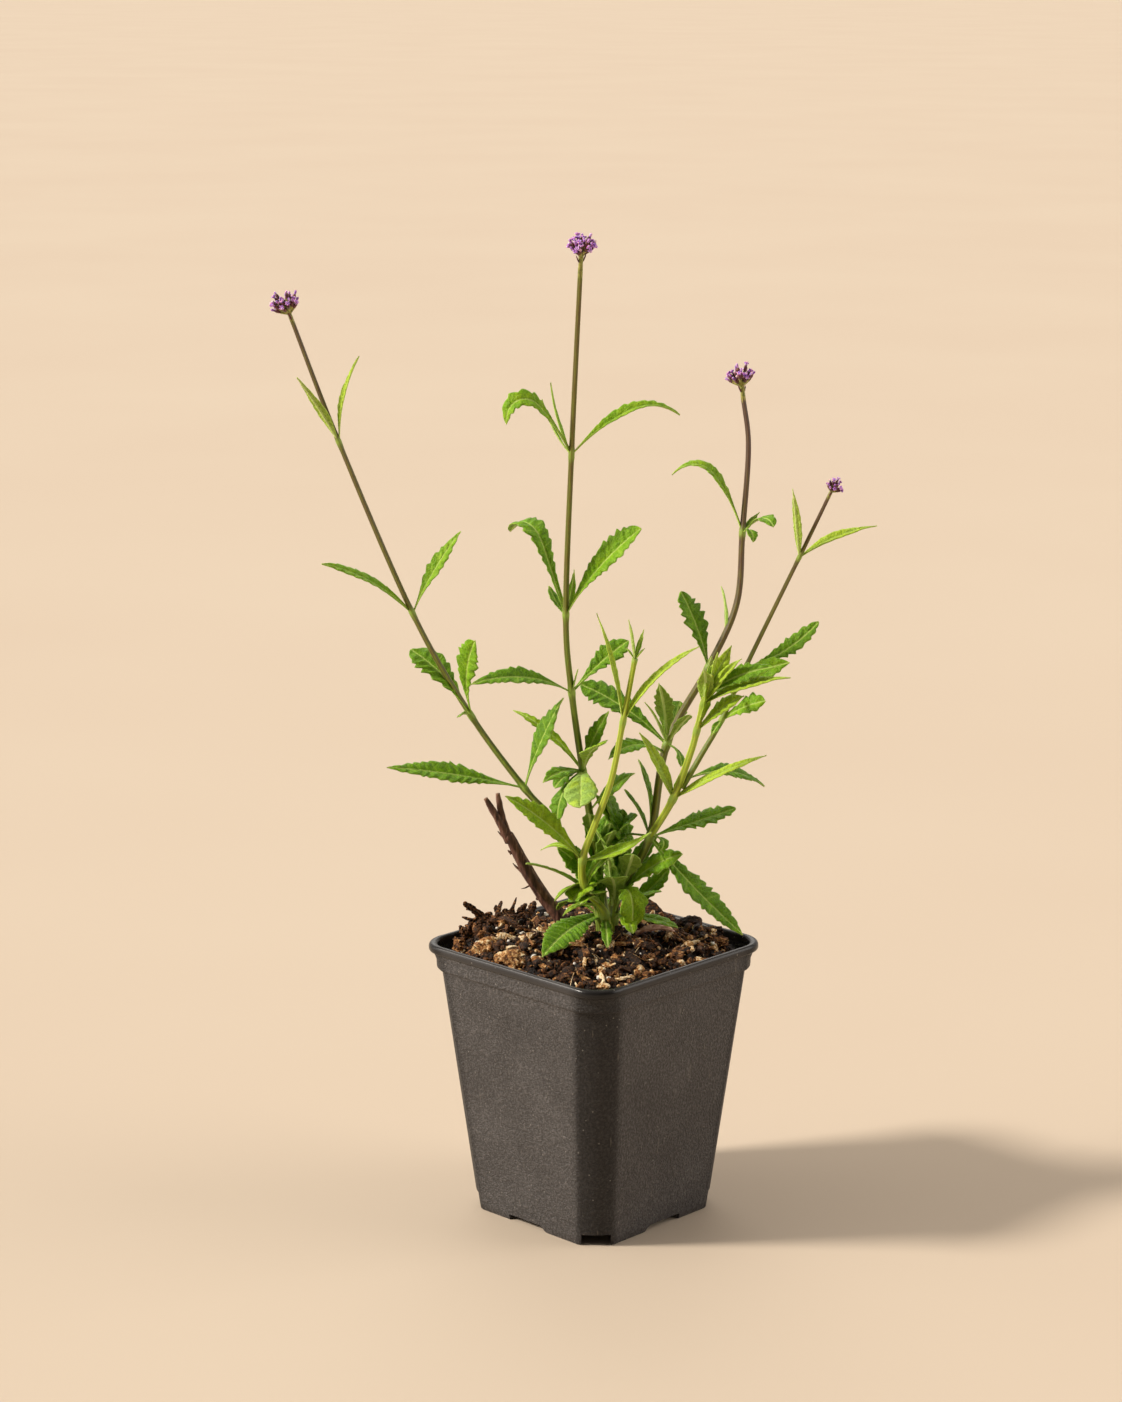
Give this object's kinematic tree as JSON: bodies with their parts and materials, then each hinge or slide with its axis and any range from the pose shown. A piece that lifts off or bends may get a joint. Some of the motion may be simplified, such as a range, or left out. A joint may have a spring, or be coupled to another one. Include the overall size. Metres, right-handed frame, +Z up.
{
  "type": "potted verbena",
  "caption": "Young purpletop verbena in a square tapered nursery pot: wiry branching stems with toothed leaf pairs, small domed flower heads, a cut-back cane and a bark mulch surface.",
  "frame": {"origin": "middle of the bounding box's underside, on the surface the pot stands on", "axes": "+Z up; +X and +Y square to the pot's sides; the pot's corner between -Y and +X faces the viewer of the usual view"},
  "size_m": [0.1844, 0.1346, 0.3527],
  "materials": {
    "pot_plastic": "satin",
    "potting_mix": "matte",
    "bark": "matte",
    "cane_wood": "matte",
    "stem": "satin",
    "shoot": "satin",
    "leaf": "satin",
    "flower": "matte"
  },
  "bodies": {
    "root": {"bark_chip_back": "bark", "bark_chip_front": "bark", "bark_chip_tan": "bark", "bark_chip_wedge": "bark", "cut_cane": "cane_wood", "flower_head_a": "flower", "flower_head_b": "flower", "flower_head_c": "flower", "flower_head_d": "flower", "leaf_a1_left": "leaf", "leaf_a1_right": "leaf", "leaf_a2_left": "leaf", "leaf_a2_right": "leaf", "leaf_a3_left": "leaf", "leaf_a3_right": "leaf", "leaf_a4_left": "leaf", "leaf_a4_right": "leaf", "leaf_b1_left": "leaf", "leaf_b1_right": "leaf", "leaf_b2_left": "leaf", "leaf_b2_right": "leaf", "leaf_b3_left": "leaf", "leaf_b3_right": "leaf", "leaf_b5_left": "leaf", "leaf_b5_pale": "leaf", "leaf_b5_up": "leaf", "leaf_base_arch": "leaf", "leaf_base_front": "leaf", "leaf_base_right": "leaf", "leaf_base_side": "leaf", "leaf_c1_left": "leaf", "leaf_c2_left": "leaf", "leaf_c3_front": "leaf", "leaf_c3_left": "leaf", "leaf_c3_up": "leaf", "leaf_c4_long": "leaf", "leaf_c4_right": "leaf", "leaf_c4_up": "leaf", "leaf_d1_left": "leaf", "leaf_d1_right": "leaf", "leaf_d2_far": "leaf", "leaf_d2_right": "leaf", "leaf_d3_right": "leaf", "leaf_d4_right": "leaf", "leaf_e1_left": "leaf", "leaf_e1_right": "leaf", "leaf_e2_left": "leaf", "leaf_e2_right": "leaf", "leaf_f2_left": "leaf", "leaf_f2_right": "leaf", "leaf_f4_right": "leaf", "leaf_low_wing": "leaf", "pot": "pot_plastic", "potting_mix": "potting_mix", "side_shoot_e": "shoot", "side_shoot_f": "shoot", "stem_a": "stem", "stem_b": "stem", "stem_c": "stem", "stem_d": "stem"}
  },
  "joints": []
}
